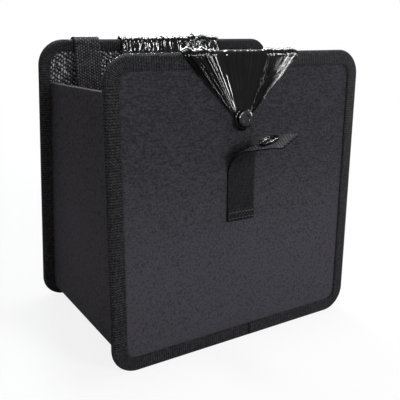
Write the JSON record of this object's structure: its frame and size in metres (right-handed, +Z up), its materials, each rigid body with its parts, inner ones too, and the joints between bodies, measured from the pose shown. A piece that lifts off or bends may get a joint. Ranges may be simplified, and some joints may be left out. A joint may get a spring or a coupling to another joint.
{
  "type": "car trash bin",
  "caption": "Upright car trash bin: stiff leathercloth walls bound in ribbed tape, a soft gusset between them, a hanging strap, snap tabs, and a film bag gathered over both top edges.",
  "frame": {"origin": "on the floor, under the middle of the bin", "axes": "+X to the right as seen from the front, front faces -Y, +Z up"},
  "size_m": [0.227, 0.1859, 0.2302],
  "materials": {
    "leathercloth": "fine-grained, dull",
    "stiffening_board": "matt",
    "lining_cloth": "coarse plain weave",
    "edge_tape": "fine cross ribs",
    "webbing": "woven",
    "snap_plastic": "glossy",
    "bag_film": "glossy creased film"
  },
  "bodies": {
    "root": {"front_leather": "leathercloth", "back_leather": "leathercloth", "gusset": "leathercloth", "front_board": "stiffening_board", "back_board": "stiffening_board", "base_board": "stiffening_board", "front_lining": "lining_cloth", "back_lining": "lining_cloth", "gusset_lining": "lining_cloth", "front_binding": "edge_tape", "back_binding": "edge_tape", "front_tab": "webbing", "back_tab": "webbing", "hanging_strap": "webbing", "front_stud": "snap_plastic", "back_stud": "snap_plastic", "front_stud_cap": "snap_plastic", "back_stud_cap": "snap_plastic", "front_tab_socket": "snap_plastic", "back_tab_socket": "snap_plastic", "front_tab_cap": "snap_plastic", "back_tab_cap": "snap_plastic", "bag_liner": "bag_film"}
  },
  "joints": []
}
